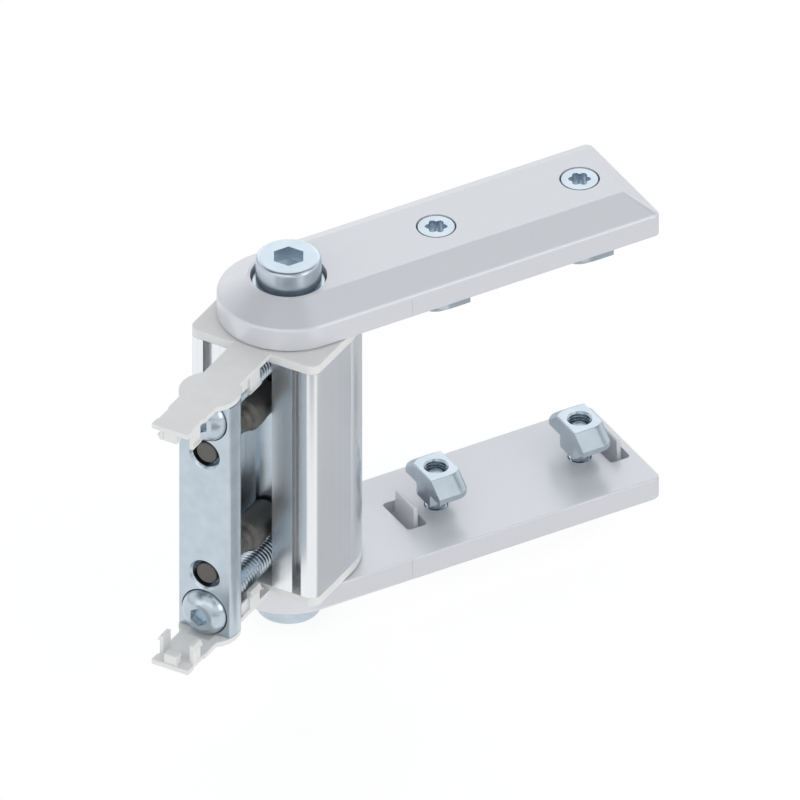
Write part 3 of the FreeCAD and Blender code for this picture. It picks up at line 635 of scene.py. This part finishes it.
# %% Arm screws
ARM_THREAD = (3.0, 1.0)                  # radius and pitch
ARM_LENGTH = 22.0
ARM_HEAD, ARM_RIM, ARM_BREAK = 5.05, 0.3, 0.05
LOBE_SPANS, LOBE_DEPTH, LOBE_CONE = (6.2, 4.6), 2.2, 0.4
SOCKET_TURN = 30.0                       # degrees from the arm's direction
for end, side in (("top", 1), ("bottom", -1)):
    for place in ("near", "far"):
        node = f"arm_screw_{end}_{place}"
        neck = ARM_THREAD[0] - TOOTH_DEPTH * ARM_THREAD[1]
        cone_end = -ARM_RIM - (ARM_HEAD - neck)
        outline = [(ARM_HEAD - ARM_BREAK, 0.0), (ARM_HEAD, -ARM_BREAK), (ARM_HEAD, -ARM_RIM),
                   (neck, cone_end), (neck, cone_end - JOIN)]
        bm = bmesh.new()
        spun(bm, outline)
        rim = lobed_rim(bm, *LOBE_SPANS, 0.0)
        punch(bm, rim, 0.0, LOBE_DEPTH, LOBE_CONE)
        threaded_shank(bm, *ARM_THREAD, cone_end - JOIN, ARM_LENGTH)
        low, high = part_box(node)
        face = high.z if side > 0 else low.z
        turn = Matrix.Rotation(0 if side > 0 else math.pi, 4, "X")
        aim = ARM_ANGLE + math.radians(SOCKET_TURN)
        spot = Matrix.Translation((*middle(node).xy, face)) @ Matrix.Rotation(aim, 4, "Z")
        screw_piece(node + "_threaded", bm, node, spot @ turn)

# %% [markdown]
# **T-nuts.** A nut is a forged block with sloping shoulders and a threaded bore. Its own solid has
# the shape, so it is copied and softened, the plain wall of its bore is taken out, and a threaded
# wall is joined to the bore's two mouths.

# %% T-nuts
NUT_BORE = 3.05          # radius
NUT_PITCH = ARM_THREAD[1]
NUT_SOFT = 0.16
NUT_JOIN = 0.1           # between a mouth of the bore and the first of the thread
NUT_STEPS = 24           # in a turn
BORE_ROOM = 0.03         # corners of the plain wall are this near to its radius, or nearer
UPRIGHT = 0.1            # most share of Z in the normal of an upright face
NUT_REACH = 20           # more than a nut's height
for end in ("top", "bottom"):
    for place in ("near", "far"):
        node = f"t_nut_{end}_{place}"
        bm = solid_copy(node)
        soften(bm, NUT_SOFT)
        axis = middle(f"arm_screw_{end}_{place}")
        spot = Matrix.Translation((axis.x, axis.y, middle(node).z))
        bmesh.ops.transform(bm, matrix=spot.inverted(), verts=bm.verts)
        wall = [face for face in bm.faces if abs(face.normal.z) < UPRIGHT
                and all(vert.co.xy.length < (NUT_BORE + BORE_ROOM) * MM for vert in face.verts)]
        bmesh.ops.delete(bm, geom=wall, context="FACES")
        mouths = open_edges(bm, -NUT_REACH, NUT_REACH)
        heights = sorted(vert.co.z / MM for edge in mouths for vert in edge.verts)
        first, last = heights[0] + NUT_JOIN, heights[-1] - NUT_JOIN
        thread(bm, NUT_BORE, NUT_PITCH, first, last, steps=NUT_STEPS)
        for mouth, end_of_thread in ((heights[0], first), (heights[-1], last)):
            zip_loops(bm, open_edges(bm, mouth - NEAR, mouth + NEAR),
                      open_edges(bm, end_of_thread - NEAR, end_of_thread + NEAR))
        bmesh.ops.recalc_face_normals(bm, faces=bm.faces)
        loose = sum(1 for edge in bm.edges if len(edge.link_faces) != 2)
        bmesh.ops.transform(bm, matrix=spot, verts=bm.verts)
        piece(node + "_threaded", bm, node)
        print("   bore from", [round(value, 2) for value in (heights[0], heights[-1])],
              "mm, open edges:", loose)

# %% [markdown]
# The anchor bar and the pivot bushes are out of sight, so they keep the solids' own meshes and get
# their finish.

# %% Finish the solids that stay
for node, shape in frame["nodes"].items():
    shape.data.materials.clear()
    shape.data.materials.append(FINISHES[SLOT_OF[node]])
print("finished", len(frame["nodes"]), "solids")

# %% [markdown]
# The joint is shown on a lit white table, as small parts are photographed for a catalogue: the table
# glows, so shadows stay faint and the metal reflects white from below.

# %% Table
TABLE_HALF = 3.0     # metres
TABLE_GLOW = 0.84
TABLE_GAP = 0.05     # mm, so that the table shares no plane with the lowest screw head
floor_level = CAD_BOX[0].z - TABLE_GAP * MM
floor_bm = bmesh.new()
bmesh.ops.create_grid(floor_bm, x_segments=1, y_segments=1, size=TABLE_HALF)
bmesh.ops.translate(floor_bm, verts=floor_bm.verts, vec=(0, 0, floor_level))
floor_mesh = bpy.data.meshes.new("floor")
floor_bm.to_mesh(floor_mesh)
floor_bm.free()
floor = bpy.data.objects.new("floor", floor_mesh)
bpy.context.scene.collection.objects.link(floor)
lit_acrylic = finish("lit_white_acrylic", {"Base Color": linear("#777777"), "Roughness": 0.9,
                                           "Emission Color": linear("#FFFFFF"),
                                           "Emission Strength": TABLE_GLOW})[0]
floor_mesh.materials.append(lit_acrylic)
print("table at", round(floor_level / MM, 2), "mm")

# %% [markdown]
# Two grey cards lie just above the table, one behind the joint on the right and one well in front
# of it. Only mirror rays meet them: they take the white out of what the metal's right-hand sides and
# the upper screw head reflect, and neither shade nor show.

# %% Grey cards for the reflections
CARD_LIFT = 1.0      # above the table
# Colour, and corners as (x, y) in metres.
CARDS = {"back_card": ("#DCDCDC", ((0.03, 0.0), (0.6, 0.0), (0.6, 0.6), (-0.12, 0.6), (-0.12, 0.07),
                                   (0.03, 0.07))),
         "front_card": ("#BCBCBC", ((0.02, -0.14), (0.17, -0.05), (0.32, -0.31), (0.17, -0.4)))}
for name, (colour, outline) in CARDS.items():
    card_bm = bmesh.new()
    card_bm.faces.new([card_bm.verts.new((x, y, floor_level + CARD_LIFT * MM)) for x, y in outline])
    card_mesh = bpy.data.meshes.new(name)
    card_bm.to_mesh(card_mesh)
    card_bm.free()
    card_mesh.materials.append(finish(name, {"Base Color": linear(colour), "Roughness": 0.9})[0])
    card = bpy.data.objects.new(name, card_mesh)
    bpy.context.scene.collection.objects.link(card)
    card.visible_camera = False
    card.visible_diffuse = False
    card.visible_shadow = False
print("cards:", ", ".join(CARDS))

# %% [markdown]
# Bright metal shows little but its surroundings, so the studio is part of the finish. A broad soft box
# behind on the left is what the upward faces reflect, another above the front lights the slopes, and
# small ones fill from the right and the front. The studio itself is pale at the height of the eye and
# darker at the horizon and overhead, which draws thin dark lines along the edges of the zinc.

# %% Lights
AIM = Vector((0.02, 0.05, 0.0))     # metres; the middle of the joint, which the boxes face


def soft_box(name, towards, distance, size, power):
    """Square area light in a direction from the joint."""
    light = bpy.data.lights.new(name, "AREA")
    light.shape = "SQUARE"
    light.size = size
    light.energy = power
    lamp = bpy.data.objects.new(name, light)
    lamp.location = AIM + Vector(towards).normalized() * distance
    lamp.rotation_euler = Vector(towards).to_track_quat("Z", "Y").to_euler()
    bpy.context.scene.collection.objects.link(lamp)


# Name, direction, distance and size in metres, and power in watts.
soft_box("back_left_box", (-0.45, 0.75, 0.55), 1.6, 2.2, 9.2)
soft_box("top_right_box", (0.55, 0.1, 0.8), 1.6, 0.9, 2.2)
soft_box("right_box", (0.94, -0.06, 0.33), 1.5, 0.6, 1.5)
soft_box("front_box", (-0.41, -0.85, 0.33), 1.5, 0.6, 0.5)
soft_box("front_top_box", (0.1, -0.6, 0.75), 1.8, 1.6, 5.5)

# Height over the horizon, as the sine of its angle, and the brightness of the studio there.
STUDIO = ((0.0, "#8A8E92"), (0.12, "#F6F8FA"), (0.5, "#F6F8FA"), (0.8, "#70757A"))
world = bpy.data.worlds.new("pale_studio")
bpy.context.scene.world = world
world.use_nodes = True
tree = world.node_tree
height = add(tree, "ShaderNodeSeparateXYZ",
             links={"Vector": add(tree, "ShaderNodeTexCoord").outputs["Generated"]}).outputs["Z"]
ramp = add(tree, "ShaderNodeValToRGB", links={"Fac": height})
for element, (sine, colour) in zip(ramp.color_ramp.elements, STUDIO[::3]):
    element.position = sine
    element.color = linear(colour)
for sine, colour in STUDIO[1:3]:
    ramp.color_ramp.elements.new(sine).color = linear(colour)
tree.links.new(ramp.outputs["Color"], tree.nodes["Background"].inputs["Color"])
tree.nodes["Background"].inputs["Strength"].default_value = 1.0
bpy.context.scene.view_settings.view_transform = "Standard"
print("lights set")

# %% [markdown]
# The camera has no perspective. It looks down at 35 degrees from 30 degrees to the right of the
# profile's direction, at 3.68 pixels to the millimetre, with the pivot left of the middle.

# %% Camera
AZIMUTH, ELEVATION = math.radians(30), math.radians(35)
IMAGE_SIDE = 800
PIXELS_PER_MM = 3.68
PIVOT_PIXEL = (288.1, 431.0)

right = Vector((math.cos(AZIMUTH), math.sin(AZIMUTH), 0))
back = Vector((math.sin(AZIMUTH) * math.cos(ELEVATION), -math.cos(AZIMUTH) * math.cos(ELEVATION),
               math.sin(ELEVATION)))
up = back.cross(right)
image_middle = (IMAGE_SIDE - 1) / 2
across = (image_middle - PIVOT_PIXEL[0]) / PIXELS_PER_MM * MM
above = (PIVOT_PIXEL[1] - image_middle) / PIXELS_PER_MM * MM
camera_data = bpy.data.cameras.new("camera")
camera_data.type = "ORTHO"
camera_data.ortho_scale = IMAGE_SIDE / PIXELS_PER_MM * MM
camera = bpy.data.objects.new("camera", camera_data)
stand = Vector((0, PIVOT.y, 0)) + right * across + up * above + back
camera.matrix_world = Matrix.Translation(stand) @ Matrix((right, up, back)).transposed().to_4x4()
bpy.context.scene.collection.objects.link(camera)
bpy.context.scene.camera = camera
print("camera at", [round(v, 3) for v in camera.location])
